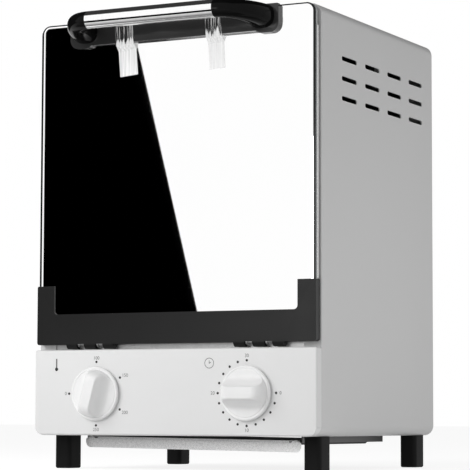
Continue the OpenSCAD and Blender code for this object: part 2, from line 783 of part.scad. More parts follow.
// Crumb tray: a shallow pan with a rim on each side, a sloped back and a finger lip in front.
module crumb_tray() {
    half = lip_w / 2 - tray_web - 2;
    rim = lip_w / 2 - 1.4;
    top = -tray_drop();
    low = top - tray_deep;
    back = lip_y + tray_l;
    t = tray_t;
    at_home() color("darkgray") rotate([0, tray_droop, 0]) {
        difference() {
            along_x(-half, half) polygon([[lip_y, top], [lip_y, low], [back - 9, low], [back, top]]);
            along_x(t - half, half - t) polygon([[lip_y + t, top + eps], [lip_y + t, low + t],
                [back - 9 - t / 2, low + t], [back - t, top + eps]]);
        }
        for (s = [-1, 1]) translate([s > 0 ? half - t : -rim, lip_y, top - t])
            cube([rim - half + t, tray_l - 2, t]);
        along_y(lip_y - t, lip_y) translate([0, top - 1.5 - lip_h]) rounded(lip_w, lip_h, 4.5, 1);
    }
}

// Steel bracket of one hinge: a plate on the chamber's flange with two ears for the pin.
module hinge_bracket(s) {
    foot_top = panel_h + play;
    at_home() color("silver") translate([s * hinge_x, 0, 0]) {
        translate([-hinge_l / 2, pan_depth + 0.05, panel_h - 7])
            cube([hinge_l, sheet_t - 0.05, 7 + play]);
        for (e = ear_places()) difference() {
            union() {
                rod_x(e - ear_t / 2, e + ear_t / 2, hinge_y, hinge_z, 4.8);
                along_x(e - ear_t / 2, e + ear_t / 2) polygon([[hinge_y, hinge_z - 2.4],
                    [pan_depth, foot_top], [flange_y, foot_top], [flange_y, hinge_z + 2.4],
                    [hinge_y, hinge_z + 2.4]]);
            }
            rod_x(e - ear_t, e + ear_t, hinge_y, hinge_z, pin_d + 0.02);
        }
    }
}

// Middles of the two gaps between a hinge's knuckles, and of the ears that stand in them.
function gap_places() = [-hinge_l / 5, hinge_l / 5];
function ear_places() = [for (g = gap_places()) g - knuckle_gap / 2 + ear_t / 2 + play];

module hinge_bracket_left() hinge_bracket(-1);
module hinge_bracket_right() hinge_bracket(1);

// Hinge pin, held in the bracket's ears, on which the door's knuckles turn.
module hinge_pin(s) {
    at_home() color("silver")
        rod_x(s * hinge_x - hinge_l / 2 + 1, s * hinge_x + hinge_l / 2 - 1, hinge_y, hinge_z, pin_d);
}

module hinge_pin_left() hinge_pin(-1);
module hinge_pin_right() hinge_pin(1);

// Points of one ring of a coil's round wire.
function coil_ring(a, r, wire, pitch, sides) = [for (j = [0:sides - 1])
    let (b = 360 * j / sides, q = r + wire / 2 * cos(b))
    [pitch * a / 360 + wire / 2 * sin(b), q * cos(a), q * sin(a)]];

// Torsion spring round the pin, in the gap beside one ear, which holds the door shut.
module hinge_spring(s) {
    wire = 0.7;
    turns = 3;
    pitch = 1;
    start = gap_places()[1] - knuckle_gap / 2 + ear_t + play + 0.6;
    at_home() color("silver") translate([s * hinge_x + start, hinge_y, hinge_z])
        loft([for (a = [0:20:360 * turns]) coil_ring(a, pin_d / 2 + wire / 2 + 0.2, wire, pitch, 6)]);
}

module hinge_spring_left() hinge_spring(-1);
module hinge_spring_right() hinge_spring(1);

// Toughened glass of the door, with rounded upper corners and the handle's two holes.
module door_glass() {
    at_home() color([0.1, 0.1, 0.1, 0.6]) difference() {
        along_y(glass_y, glass_back) translate([0, glass_low])
            rounded(glass_w, glass_top - glass_low, 2, glass_r);
        for (s = [-1, 1])
            rod_y(glass_y - eps, glass_back + eps, s * handle_screw_x(), handle_screw_z(),
                handle_screw_d + 1.8);
    }
}

// Place of the handle's screws.
function handle_screw_x() = arm_reach - arm_root_w / 2;
function handle_screw_z() = grip_z - 2;

// Moulded trim that holds the lower edge of the glass, with the door's hinge knuckles.
module door_trim() {
    mouth = trim_w - 2 * riser_w;
    at_home() color("black") difference() {
        union() {
            along_y(trim_y, trim_back) difference() {
                translate([0, trim_z]) rounded(trim_w, riser_h, 2, 1.2);
                translate([0, trim_z + trim_h]) rounded(mouth, riser_h, 3, 1);
            }
            for (s = [-1, 1])
                rod_x(s * hinge_x - hinge_l / 2, s * hinge_x + hinge_l / 2, hinge_y, hinge_z,
                    2 * knuckle_r);
        }
        along_y(glass_y - 0.05, glass_back + 0.05) translate([0, glass_low - 0.1])
            rounded(glass_w + 0.2, riser_h + 20, 2, 1);
        for (s = [-1, 1], g = gap_places()) translate([s * hinge_x + g - knuckle_gap / 2, 0, 0]) {
            translate([0, trim_y + 0.9, hinge_z - eps]) cube([knuckle_gap, 10, 2.9 + eps]);
            translate([0, -eps, hinge_z - 8]) cube([knuckle_gap, 12, 8]);
        }
        for (s = [-1, 1])
            rod_x(s * hinge_x - hinge_l / 2 - eps, s * hinge_x + hinge_l / 2 + eps, hinge_y, hinge_z,
                pin_d + 2 * running);
        for (p = trim_screw_places()) rod_y(glass_back, trim_back + eps, p[0], p[1], 2.6);
    }
}

// Places of the screws in the trim's back wall.
function trim_screw_places() = [for (x = [-1, -1 / 3, 1 / 3, 1]) [x * (trim_w / 2 - 8),
    trim_z + (abs(x) > 0.5 ? riser_h - 8 : trim_h - 8)]];

// Small slotted screws that clamp the glass from the trim's back wall.
module trim_screws() {
    at_home() color("silver") for (p = trim_screw_places()) difference() {
        rod_y(glass_back + seat, trim_back - 0.1, p[0], p[1], 2.5);
        translate([p[0] - 2, trim_back - 0.6, p[1] - 0.25]) cube([4, 1, 0.5]);
    }
}

// Metal strip behind one side of the glass.
module door_strip(s) {
    low = trim_z + riser_h + 0.3;
    high = glass_top - strip_drop;
    edge = glass_w / 2 + 0.6;
    at_home() color("silver") mirror([s > 0 ? 0 : 1, 0, 0]) {
        translate([edge - strip_w, glass_back, low]) cube([strip_w, 0.6, high - low]);
        translate([edge - 0.6, glass_back - 2, low]) cube([0.6, 2.6, high - low]);
    }
}

module door_strip_left() door_strip(-1);
module door_strip_right() door_strip(1);

// Outline of the handle's base plate: a band with a deeper, rounded end on each side.
module plate_outline() {
    translate([0, plate_top - plate_h]) rounded(plate_w, plate_h, plate_r, 1.5);
    for (s = [-1, 1]) translate([s * (plate_w - plate_end_l) / 2, plate_top - plate_end_h])
        rounded(plate_end_l, plate_end_h, plate_r, 1.5);
}

// Moulded base plate of the handle, against the face of the glass.
module handle_plate() {
    at_home() color("black") difference() {
        along_y(glass_y - plate_t, glass_y) plate_outline();
        for (s = [-1, 1])
            rod_y(glass_y - plate_t - eps, glass_y + eps, s * handle_screw_x(), handle_screw_z(),
                handle_screw_d + 1.2);
    }
}

// One ring of the right handle arm, at share a of its elliptic quarter turn as seen from above.
function arm_ring(a, sides) =
    let (k = a / 90, bend_x = handle_screw_x() - grip_l / 2, bend_y = grip_y + glass_y - plate_t,
        wide = (grip_d + k * k * (arm_root_w - grip_d)) / 2,
        tall = (grip_d + k * k * (arm_root_h - grip_d)) / 2,
        mid_x = grip_l / 2 + bend_x * sin(a), mid_y = glass_y - plate_t - bend_y * cos(a),
        mid_z = plate_top - tall, power = 1 - 0.25 * k,
        turn = atan2(bend_y * sin(a), bend_x * cos(a)))
    [for (j = [0:sides - 1]) let (b = 360 * j / sides,
        u = wide * sign(cos(b)) * pow(abs(cos(b)), power),
        v = tall * sign(sin(b)) * pow(abs(sin(b)), power))
        [mid_x + u * sin(turn), mid_y - u * cos(turn), mid_z + v]];

// Moulded arm of the handle, from the end of the grip round to the base plate.
module handle_arm(s) {
    at_home() color("black") mirror([s > 0 ? 0 : 1, 0, 0]) difference() {
        union() {
            loft([for (a = [0:7.5:90]) arm_ring(a, 24)]);
            rod_x(grip_l / 2 - 9, grip_l / 2 + 1, -grip_y, grip_z, grip_d - 2.4);
        }
        rod_y(glass_y - plate_t - arm_thread - 2, glass_y, handle_screw_x(), handle_screw_z(),
            handle_screw_d + 2 * seat);
    }
}

module handle_arm_left() handle_arm(-1);
module handle_arm_right() handle_arm(1);

// Polished steel tube of the handle.
module handle_grip() {
    at_home() color("silver") difference() {
        rod_x(-grip_l / 2, grip_l / 2, -grip_y, grip_z, grip_d);
        rod_x(-grip_l / 2 - eps, grip_l / 2 + eps, -grip_y, grip_z, grip_d - 2.2);
    }
}

// Flat headed screws that come through the glass into the handle's arms.
module handle_screws() {
    under = glass_back + washer_t;
    head = housing_front - under - 0.5;
    head_r = 1.1 * handle_screw_d;
    slot = handle_screw_d / 4;
    at_home() color("silver") for (s = [-1, 1]) translate([s * handle_screw_x(), 0, handle_screw_z()])
        difference() {
            union() {
                rod_y(glass_y - plate_t - arm_thread, under + head / 2, 0, 0, handle_screw_d);
                rod_y(under, under + head, 0, 0, 2 * head_r);
            }
            for (a = [0, 90]) rotate([0, a, 0])
                translate([-handle_screw_d * 0.75, under + head / 2, -slot / 2])
                    cube([handle_screw_d * 1.5, head, slot]);
        }
}

// Soft washers between the glass and the handle's screws.
module handle_washers() {
    at_home() color("white") for (s = [-1, 1]) translate([s * handle_screw_x(), 0, handle_screw_z()])
        difference() {
            rod_y(glass_back, glass_back + washer_t, 0, 0, 2.5 * handle_screw_d);
            rod_y(glass_back - eps, glass_back + washer_t + eps, 0, 0, handle_screw_d + 2 * seat);
        }
}

// Wire rack: a bent frame that slides on the rails, with cross wires laid over it.
module wire_rack() {
    z = rail_top(2) + rack_wire / 2 + rest_gap;
    half = rack_half - rack_wire / 2;
    corner = 12;
    back = rack_y + rack_d;
    front = rack_y + rack_wire / 2;
    rear = back - rack_wire / 2;
    cross_z = z + (rack_wire + cross_wire) / 2 - 0.4;
    at_home() color("silver") {
        for (s = [-1, 1]) {
            rod_y(front + corner, rear - corner, s * half, z, rack_wire);
            translate([s * (half - corner), front + corner, z])
                rotate(s > 0 ? -90 : 180) rotate_extrude(angle = 90)
                    translate([corner, 0]) circle(d = rack_wire);
            translate([s * (half - corner), rear - corner, z])
                rotate(s > 0 ? 0 : 90) rotate_extrude(angle = 90)
                    translate([corner, 0]) circle(d = rack_wire);
        }
        rod_x(corner - half, half - corner, front, z, rack_wire);
        rod_x(corner - half, half - corner, rear, z, rack_wire);
        for (i = [0:cross_count - 1]) {
            x = (i - (cross_count - 1) / 2) * 2 * (half - 6) / (cross_count + 1);
            rod_y(front - 1, rear + 1, x, cross_z, cross_wire);
        }
        rod_x(-half, half, (front + rear) / 2, z, rack_wire - 1);
    }
}

// Stainless instrument tray: a pan with a flat rim that slides on the lowest rails.
module instrument_tray() {
    t = 0.8;
    rim_z = rail_top(1) + rest_gap;
    half = rack_half - rail_reach - 1;
    low = rim_z - pan_deep;
    at_home() color("lightsteelblue") translate([0, rack_y + rack_d / 2, 0]) difference() {
        union() {
            translate([0, 0, rim_z]) linear_extrude(t) plan(2 * rack_half, rack_d, 6);
            translate([0, 0, low]) linear_extrude(pan_deep + t) plan(2 * half, rack_d - 14, 10);
        }
        translate([0, 0, low + t]) linear_extrude(pan_deep + 2)
            plan(2 * half - 2 * t, rack_d - 14 - 2 * t, 9.2);
        for (i = [-3:3], j = [-2:2]) floor_slot(i * 24, j * 28, 18, 4, low - 1, low + 2);
    }
}

// A rounded rectangle about the origin.
module plan(w, l, r) {
    translate([0, -l / 2]) rounded(w, l, r, r);
}

// One strip of clear tape: down the base plate's face, across its lower edge and down the glass.
module tape_strip(x, w, lean) {
    t = tape_t;
    high = plate_top - 5.5;
    edge = plate_top - plate_h;
    low = edge - tape_drop;
    plate_face = glass_y - plate_t - 0.03;
    glass_face = glass_y - 0.03;
    translate([x, 0, low]) rotate([0, lean, 0]) along_x(-w / 2, w / 2) translate([0, -low]) polygon([
        [plate_face, high], [plate_face, edge - 1.3], [glass_face, edge - 6], [glass_face, low],
        [glass_face - t, low], [glass_face - t, edge - 6 - t], [plate_face - t, edge - 1.3 - t],
        [plate_face - t, high]]);
}

// Two strips of clear tape that hold the handle and the glass for transport.
module tape_strips() {
    at_home() color([0.95, 0.95, 0.95, 0.5]) {
        tape_strip(-tape_left_x, tape_left_w, -4.5);
        tape_strip(tape_right_x, tape_right_w, -3);
    }
}

outer_housing();
control_panel();
back_panel();
base_plate();
back_screws();
panel_screws();
inner_chamber();
control_shield();
heater_upper_front();
heater_upper_rear();
heater_lower_front();
heater_lower_rear();
heater_bushes();
thermostat_body();
thermostat_shaft();
thermostat_knob();
timer_body();
timer_bell();
timer_shaft();
timer_knob();
terminal_block();
cord_bush();
foot_front_left();
foot_front_right();
foot_rear_left();
foot_rear_right();
foot_screws();
foot_nuts();
tray_rail_left();
tray_rail_right();
crumb_tray();
hinge_bracket_left();
hinge_bracket_right();
hinge_pin_left();
hinge_pin_right();
hinge_spring_left();
hinge_spring_right();
door_glass();
door_trim();
trim_screws();
door_strip_left();
door_strip_right();
handle_plate();
handle_arm_left();
handle_arm_right();
handle_grip();
handle_screws();
handle_washers();
wire_rack();
instrument_tray();
tape_strips();
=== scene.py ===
# %% [markdown]
# # A small dry heat sterilizer
#
# This lesson dresses the solid model of an upright bench oven whose front is one sheet of mirror glass. The
# solids already have the true sizes, so each new piece takes its place from them. Everything is in metres
# unless it says otherwise. The oven faces -Y and stands on Z = 0.

import json
import math

import bmesh
import bpy
from mathutils import Matrix, Vector


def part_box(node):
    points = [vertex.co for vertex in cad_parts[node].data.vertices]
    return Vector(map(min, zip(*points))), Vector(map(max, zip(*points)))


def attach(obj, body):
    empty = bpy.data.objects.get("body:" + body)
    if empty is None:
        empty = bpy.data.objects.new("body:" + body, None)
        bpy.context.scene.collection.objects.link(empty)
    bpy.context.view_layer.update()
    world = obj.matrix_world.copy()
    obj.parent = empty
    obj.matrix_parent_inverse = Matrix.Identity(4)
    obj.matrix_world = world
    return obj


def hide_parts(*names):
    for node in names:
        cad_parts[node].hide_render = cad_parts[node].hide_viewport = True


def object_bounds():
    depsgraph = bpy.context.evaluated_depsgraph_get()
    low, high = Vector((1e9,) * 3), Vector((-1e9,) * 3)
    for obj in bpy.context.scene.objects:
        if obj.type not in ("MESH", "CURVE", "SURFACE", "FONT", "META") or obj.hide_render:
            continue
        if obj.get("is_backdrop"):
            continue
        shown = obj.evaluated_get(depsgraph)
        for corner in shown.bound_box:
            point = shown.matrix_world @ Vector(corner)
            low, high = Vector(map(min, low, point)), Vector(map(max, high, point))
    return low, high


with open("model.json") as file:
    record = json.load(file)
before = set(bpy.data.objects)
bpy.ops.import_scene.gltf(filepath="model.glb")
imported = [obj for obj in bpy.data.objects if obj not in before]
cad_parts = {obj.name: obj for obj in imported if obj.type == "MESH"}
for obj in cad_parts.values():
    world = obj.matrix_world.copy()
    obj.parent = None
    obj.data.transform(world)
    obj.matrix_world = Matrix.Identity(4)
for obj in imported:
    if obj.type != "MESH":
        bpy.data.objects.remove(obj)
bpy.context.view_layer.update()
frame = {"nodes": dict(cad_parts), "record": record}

# %% [markdown]
# Two planes serve as the drawing's datum: the control panel's face and the housing's underside. A maker's
# drawing gives its distances from such planes in millimetres, so one function turns them into scene places.

# %% The datum planes
MM = 0.001
MICRON = 0.000001
FACE_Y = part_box("control_panel")[0].y
UNDERSIDE_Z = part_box("outer_housing")[0].z


def place(x, y, z):
    """The place that lies x, y and z millimetres from the middle, the panel's face and the underside."""
    return Vector((x * MM, FACE_Y + y * MM, UNDERSIDE_Z + z * MM))


print("panel face at y", round(FACE_Y, 5), "underside at z", round(UNDERSIDE_Z, 5))

# %% [markdown]
# ## Camera
#
# The picture was taken with a long lens from the right, with the camera nearly on the bench and looking a
# little upwards. A camera's own axes are right, up and backwards, so its rotation is built from those three
# directions, with a roll of a sixth of a degree.

# %% Camera
EYE = place(792.5, -1429.6, 11.9)
AIM = place(53.3, 0, 148.15)
ROLL = math.radians(0.158)
LENS = 167.4
forward = (AIM - EYE).normalized()
level_right = forward.cross(Vector((0, 0, 1))).normalized()
level_up = level_right.cross(forward)
camera_right = level_right * math.cos(ROLL) + level_up * math.sin(ROLL)
camera_up = level_up * math.cos(ROLL) - level_right * math.sin(ROLL)
camera_data = bpy.data.cameras.new("camera")
camera_data.lens = LENS
camera_data.dof.use_dof = False
camera = bpy.data.objects.new("camera", camera_data)
bpy.context.collection.objects.link(camera)
turn = Matrix((camera_right, camera_up, -forward)).transposed().to_4x4()
camera.matrix_world = Matrix.Translation(EYE) @ turn
bpy.context.scene.camera = camera
print("camera", round((AIM - EYE).length, 3), "m away, lens", LENS, "mm")

# %% [markdown]
# ## Shader maths as plain expressions
#
# A pattern is easier to read as a sum or a product than as a list of links. A value stands for one socket,
# and each operator on it adds a Math node. A node set keeps the tree in which those nodes are made.

# %% Values and node sets


class Value:
    """One socket of a node set, on which the operators add Math nodes."""

    def __init__(self, nodes, socket):
        self.nodes = nodes
        self.socket = socket

    def math(self, operation, *others):
        """A Math node of this value and the others."""
        return self.nodes.node("ShaderNodeMath", {"operation": operation}, dict(enumerate((self, *others))))

    def __add__(self, other):
        return self.math("ADD", other)

    def __mul__(self, other):
        return self.math("MULTIPLY", other)

    def __sub__(self, other):
        return self.math("SUBTRACT", other)

    def __rsub__(self, other):
        return self * -1 + other

    __radd__ = __add__
    __rmul__ = __mul__

    def fade(self, low, high):
        """0 below low, 1 above high, and a smooth step between them."""
        settings = {"interpolation_type": "SMOOTHSTEP"}
        return self.nodes.node("ShaderNodeMapRange", settings, {0: self, 1: low, 2: high})


class NodeSet:
    """A node tree in which any node is made by one call."""

    def __init__(self, tree):
        self.tree = tree

    def node(self, kind, settings, values, output=0):
        """Makes a node, applies its settings, fills its sockets and gives one of its outputs."""
        made = self.tree.nodes.new(kind)
        for name, setting in settings.items():
            setattr(made, name, setting)
        for name, value in values.items():
            self.feed(made.inputs[name], value)
        return Value(self, made.outputs[output])

    def feed(self, socket, value):
        """Links a socket to a value, or sets it to a number or a colour."""
        if isinstance(value, Value):
            self.tree.links.new(value.socket, socket)
        else:
            socket.default_value = value


print("maths ready")

# %% [markdown]
# ## Finishes
#
# A finish is a material with a few makers' words: grain, bump and blend. Patterns read Object coordinates,
# because each piece keeps its place in its mesh and a pattern then stays put on it in every pose.

# %% The finish class


def grey(level):
    """A neutral colour of that linear level."""
    return (level, level, level, 1)


class Finish(NodeSet):
    """A material with its Principled shader at hand."""

    def __init__(self, name, **settings):
        self.material = bpy.data.materials.new(name)
        self.material.use_nodes = True
        super().__init__(self.material.node_tree)
        self.shader = self.tree.nodes["Principled BSDF"]
        self.set(settings)
        self.spot = self.node("ShaderNodeTexCoord", {}, {}, "Object")

    def set(self, values):
        """Feeds sockets of the Principled shader."""
        for name, value in values.items():
            self.feed(self.shader.inputs[name.replace("_", " ")], value)

    def show(self, shader):
        """Shows another shader in place of the Principled one."""
        self.feed(self.tree.nodes["Material Output"].inputs["Surface"], shader)

    def axis(self, name):
        """How far a point lies along X, Y or Z, in metres."""
        return self.node("ShaderNodeSeparateXYZ", {}, {0: self.spot}, name)

    def grain(self, scale, detail=3, stretch=(1, 1, 1)):
        """Noise between 0 and 1 whose lumps are about 1 / scale metres wide."""
        spot = self.node("ShaderNodeMapping", {}, {"Vector": self.spot, "Scale": stretch})
        return self.node("ShaderNodeTexNoise", {}, {"Vector": spot, "Scale": scale, "Detail": detail})

    def blend(self, factor, first, second):
        """A colour between two others."""
        return self.node("ShaderNodeMix", {"data_type": "RGBA"}, {0: factor, 6: first, 7: second}, 2)

    def relief(self, height, microns):
        """A bump whose lumps are that many microns deep."""
        values = {"Height": height, "Distance": microns * MICRON, "Strength": 1}
        self.set({"Normal": self.node("ShaderNodeBump", {}, values)})


print("finish class ready")

# %% [markdown]
# Powder coat is what makes the sheet metal look like a real appliance: a soft sheen over a very fine orange
# peel. The peel is noise about a millimetre wide and a few microns deep, and a slower noise changes the gloss
# from place to place, as handling does.

# %% Powder coat


def powder_coat(name, level, gloss):
    """Baked paint of that linear level and mean roughness."""
    coat = Finish(name, Roughness=gloss)
    cloud = coat.grain(9, 4)
    peel = coat.grain(900, 2)
    coat.set({
        "Base Color": coat.blend(cloud, grey(level * 0.985), grey(level)),
        "Roughness": cloud * 0.10 + (gloss - 0.05),
    })
    coat.relief(peel, 12)
    return coat.material


# The housing's paint is set darker than the panel's, which paints part of its side's shade into the colour.
housing_paint_darkened_as_shade = powder_coat("housing_paint_darkened_as_shade", 0.66, 0.45)
panel_paint = powder_coat("panel_paint", 0.80, 0.45)
print("powder coats ready")

# %% [markdown]
# Mouldings differ in gloss and in texture. The handle is polished black, the door's trim has a fine
# spark-eroded grain, and the knobs are a clean gloss white with a trace of flow marks. Rubber and ceramic are
# moulded as well and differ only in their numbers, so one function makes them all.

# %% Plastics, rubber and ceramic


def moulding(name, level, gloss, glint, grain_scale, grain_microns):
    """Moulded stuff of that linear level, mean roughness and strength of its highlights."""
    stuff = Finish(name, Roughness=gloss, Specular_IOR_Level=glint)
    wear = stuff.grain(40, 4)
    stuff.set({
        "Base Color": stuff.blend(wear, grey(level), grey(level * 1.12)),
        "Roughness": wear * 0.12 + (gloss - 0.06),
    })
    stuff.relief(stuff.grain(grain_scale, 2), grain_microns)
    return stuff.material


arm_plastic = moulding("arm_plastic", 0.004, 0.12, 0.07, 600, 2)
plate_plastic = moulding("plate_plastic", 0.024, 0.10, 0.45, 600, 2)
trim_plastic = moulding("trim_plastic", 0.007, 0.38, 0.26, 2600, 20)
knob_plastic = moulding("knob_plastic", 0.84, 0.22, 0.50, 500, 3)
foot_rubber = moulding("foot_rubber", 0.007, 0.62, 0.10, 1800, 30)
bush_rubber = moulding("bush_rubber", 0.02, 0.60, 0.20, 1500, 30)
ceramic = moulding("ceramic", 0.70, 0.55, 0.40, 1400, 30)
print("mouldings ready")

# %% [markdown]
# Bare metals: rolled or brushed sheet has streaks along one direction, which are noise stretched along it.
# Zinc shows faint spangles, and the polished grip is nearly a mirror. The oven's liner is bare inside, and
# its outer sides, where the vents look at it, are painted black as shade. The front of those sides stays
# bare, because it shows beside the door. A mask on X and Y draws that border of painted shade on one and
# the same sheet.

# %% Metals
LINER_SIDE_X = 0.1038
PAINTED_SHADE_BEHIND_Y = -0.055


def metal(name, level, gloss, streak, spangle=0.0, tint=(1, 1, 1), flakes=260, painted_shade_x=None):
    """Bare metal with fine streaks and optional spangles, and outer sides painted near-black as shade beyond
    an X.
    """
    sheet = Finish(name, Metallic=1.0, Roughness=gloss)
    lines = sheet.grain(700, 3, streak)
    cells = sheet.node("ShaderNodeTexVoronoi", {}, {"Vector": sheet.spot, "Scale": flakes}, "Color")
    flake = sheet.node("ShaderNodeSeparateColor", {}, {0: cells})
    shade = (lines - 0.5) * 0.10 + (flake - 0.5) * spangle + 1
    rough = (lines - 0.5) * 0.12 + (flake - 0.5) * spangle * 0.4 + gloss
    # The outer sides beyond that X and behind a given Y are painted near-black as shade.
    if painted_shade_x:
        outer = sheet.axis("X").math("ABSOLUTE").fade(painted_shade_x - 0.6 * MM, painted_shade_x - 0.3 * MM)
        behind = sheet.axis("Y").fade(PAINTED_SHADE_BEHIND_Y - 5 * MM, PAINTED_SHADE_BEHIND_Y)
        painted_shade_factor = outer * behind * -0.995 + 1
        shade = shade * painted_shade_factor
        rough = rough * painted_shade_factor + 0.08
    twice = tuple(2 * level * part for part in tint) + (1,)
    sheet.set({"Base Color": sheet.blend(shade * 0.5, grey(0), twice), "Roughness": rough})
    sheet.relief(lines, 6)
    return sheet.material


ALONG_X = (0.03, 1, 1)
ALONG_Y = (1, 0.03, 1)
ALONG_Z = (1, 1, 0.03)
SHORT_ALONG_X = (0.25, 1, 1)
grip_steel = metal("grip_steel", 0.99, 0.06, (1, 0.2, 0.2))
zinc_steel = metal("zinc_steel", 0.56, 0.34, ALONG_X, 0.10)
# A dark zinc whose darkness is painted shade, for sheets under the oven and behind its controls.
zinc_painted_shade = metal("zinc_painted_shade", 0.14, 0.50, ALONG_X, 0.10)
# The liner's outer sides, seen through the vents, are painted black as shade.
liner_sheet = metal("liner_sheet", 0.56, 0.38, ALONG_Z, 0.16, painted_shade_x=LINER_SIDE_X)
tray_sheet = metal("tray_sheet", 0.92, 0.42, SHORT_ALONG_X, 0.40, flakes=2600)
# Painted shade: a near-black sheet for the crumb tray behind its lip.
tray_painted_shade = metal("tray_painted_shade", 0.05, 0.55, SHORT_ALONG_X, 0.3, flakes=1500)
heater_steel = metal("heater_steel", 0.30, 0.36, ALONG_X)
brushed_steel = metal("brushed_steel", 0.66, 0.24, ALONG_Y)
rack_chrome = metal("rack_chrome", 0.74, 0.12, ALONG_X)
bell_brass = metal("bell_brass", 0.62, 0.30, ALONG_Z, 0.0, (1.0, 0.78, 0.40))
print("metals ready")

# %% [markdown]
# The door is mirror glass: a dark sheet whose face carries a metal film. The film reflects nearly everything,
# the polished rim beside it stays dark, and the ground sides and back are a pale grey green. These are three
# finishes on one piece.

# %% Mirror film and glass
mirror = Finish("mirror_film", Metallic=1.0, Roughness=0.02)
haze = mirror.grain(6, 4)
mirror.set({
    "Base Color": mirror.blend(haze, grey(0.98), grey(1.0)),
    "Roughness": haze * 0.012 + 0.008,
})
mirror_film = mirror.material

rim = Finish("glass_edge", Roughness=0.12, Specular_IOR_Level=0.2)
rim.set({"Base Color": rim.blend(rim.grain(300, 2), (0.003, 0.004, 0.004, 1), (0.008, 0.010, 0.010, 1))})
glass_edge = rim.material

ground_side = Finish("ground_glass", Roughness=0.35)
frosting = ground_side.grain(900, 2)
ground_side.set({"Base Color": ground_side.blend(frosting, (0.36, 0.38, 0.375, 1), (0.50, 0.52, 0.515, 1))})
ground_glass = ground_side.material
print("glass ready")

# %% [markdown]
# The panel is screen printed. The dots are a dense black, and the thin numerals are printed in a lighter
# grey.

# %% Inks


def ink(name, level):
    """A matt print whose cover varies a little."""
    colour = Finish(name, Roughness=0.5)
    colour.set({"Base Color": colour.blend(colour.grain(1500, 2), grey(level * 0.7), grey(level * 1.3))})
    return colour.material


dot_ink = ink("dot_ink", 0.012)
numeral_ink = ink("numeral_ink", 0.14)
print("inks ready")

# %% [markdown]
# The tape is clear where it lies tight on the handle's plate and white where it is crazed by pulling. The
# border between the two is torn along streaks, so the streak noise shifts the height at which it turns white.
# A finer noise draws a few white threads above that border. The tape is thin and lit from all around, so a
# weak emission stands for the light that comes through it.

# %% Tape
TAPE_WHITE_Z = UNDERSIDE_Z + 0.3005
tape = Finish("tape_film", Roughness=0.30)
streak = tape.grain(700, 3, (1, 1, 0.04))
thread = tape.grain(1100, 2, (1, 1, 0.05))
height = tape.axis("Z")
pulled = (height * -1 + (streak - 0.5) * 0.022 + TAPE_WHITE_Z).fade(-0.0012, 0.0012)
crazed = thread.fade(0.50, 0.62) * (height - UNDERSIDE_Z).fade(0.296, 0.312) * 0.35
tape.set({
    "Base Color": tape.blend(streak, grey(0.44), grey(0.70)),
    "Emission Color": grey(1),
    "Emission Strength": 0.36,
    "Alpha": (pulled * (streak * 0.60 + 0.34)).math("MAXIMUM", crazed),
})
tape.relief(streak, 30)
tape_film = tape.material
print("tape turns white at z", round(TAPE_WHITE_Z, 4))

# %% [markdown]
# ## Studio
#
# The world is white wherever it is looked at, directly or in a mirror. As a light it is weaker: it gives only
# the even fill that lifts the shaded sides, and the lamps do the rest. Light Path tells the two apart.

# %% World
FILL = 0.37
world = bpy.data.worlds.new("studio")
world.use_nodes = True
bpy.context.scene.world = world
sky = NodeSet(world.node_tree)


def seen(nodes):
    """1 for rays that look at something, directly or in a mirror or through glass, and 0 for light."""
    names = ("Is Camera Ray", "Is Glossy Ray", "Is Transmission Ray")
    first, second, third = [nodes.node("ShaderNodeLightPath", {}, {}, name) for name in names]
    return first.math("MAXIMUM", second).math("MAXIMUM", third)


background = world.node_tree.nodes["Background"]
background.inputs["Color"].default_value = grey(1)
sky.feed(background.inputs["Strength"], seen(sky) * (1 - FILL) + FILL)
print("world fill", FILL)

# %% [markdown]
# A plain diffuse floor would be grey in the picture. So the rays that look at the floor meet a steady glow
# over a weak diffuse part, which keeps it white and still lets the oven's shadow show, and the light that
# bounces off it meets plain diffuse white.

# %% Floor
FLOOR_HALF = 12
floor_shape = bmesh.new()
bmesh.ops.create_grid(floor_shape, x_segments=1, y_segments=1, size=FLOOR_HALF)
floor_mesh = bpy.data.meshes.new("floor")
floor_shape.to_mesh(floor_mesh)
floor_shape.free()
floor = bpy.data.objects.new("floor", floor_mesh)
bpy.context.collection.objects.link(floor)
floor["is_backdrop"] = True
ground = Finish("floor_white")
plain = ground.node("ShaderNodeBsdfDiffuse", {}, {"Color": grey(0.85)})
weak = ground.node("ShaderNodeBsdfDiffuse", {}, {"Color": grey(0.28)})
glow = ground.node("ShaderNodeEmission", {}, {"Color": grey(1), "Strength": 0.84})
shown = ground.node("ShaderNodeAddShader", {}, {0: weak, 1: glow})
ground.show(ground.node("ShaderNodeMixShader", {}, {0: seen(ground), 1: plain, 2: shown}))
floor_mesh.materials.append(ground.material)
print("floor", tuple(floor.dimensions))

# %% [markdown]
# What a mirror shows is the studio. Photographers hang black cards, called flags, just outside the picture to
# draw dark shapes on glass and chrome. These cards are seen by reflections alone. One with a slanted edge
# fills the left of the door. One overhead and a strip on the floor draw the two dark lines on the grip, and a
# grey card before the feet shades the grip's underside. One at the side draws the dark line along the glass's
# left edge, and a small white card keeps the slanted flag out of the grip.

# %% Cards for the reflections


def card_finish(name, level, bright_y=None, dim_y=None):
    """A card of one even tone, or of a tone that falls to a quarter on the way from bright_y to dim_y."""
    tone = Finish(name)
    strength = level
    if bright_y:
        strength = ((tone.axis("Y") * -1).fade(-dim_y, -bright_y) * 0.75 + 0.25) * level
    tone.show(tone.node("ShaderNodeEmission", {}, {"Color": grey(1), "Strength": strength}))
    return tone.material


CARD_BLACK = card_finish("card_black", 0.0)
CARD_DARK = card_finish("card_dark", 0.035)
CARD_GREY = card_finish("card_grey", 0.70, bright_y=-0.44, dim_y=FACE_Y - 0.02)
CARD_WHITE = card_finish("card_white", 1.0)


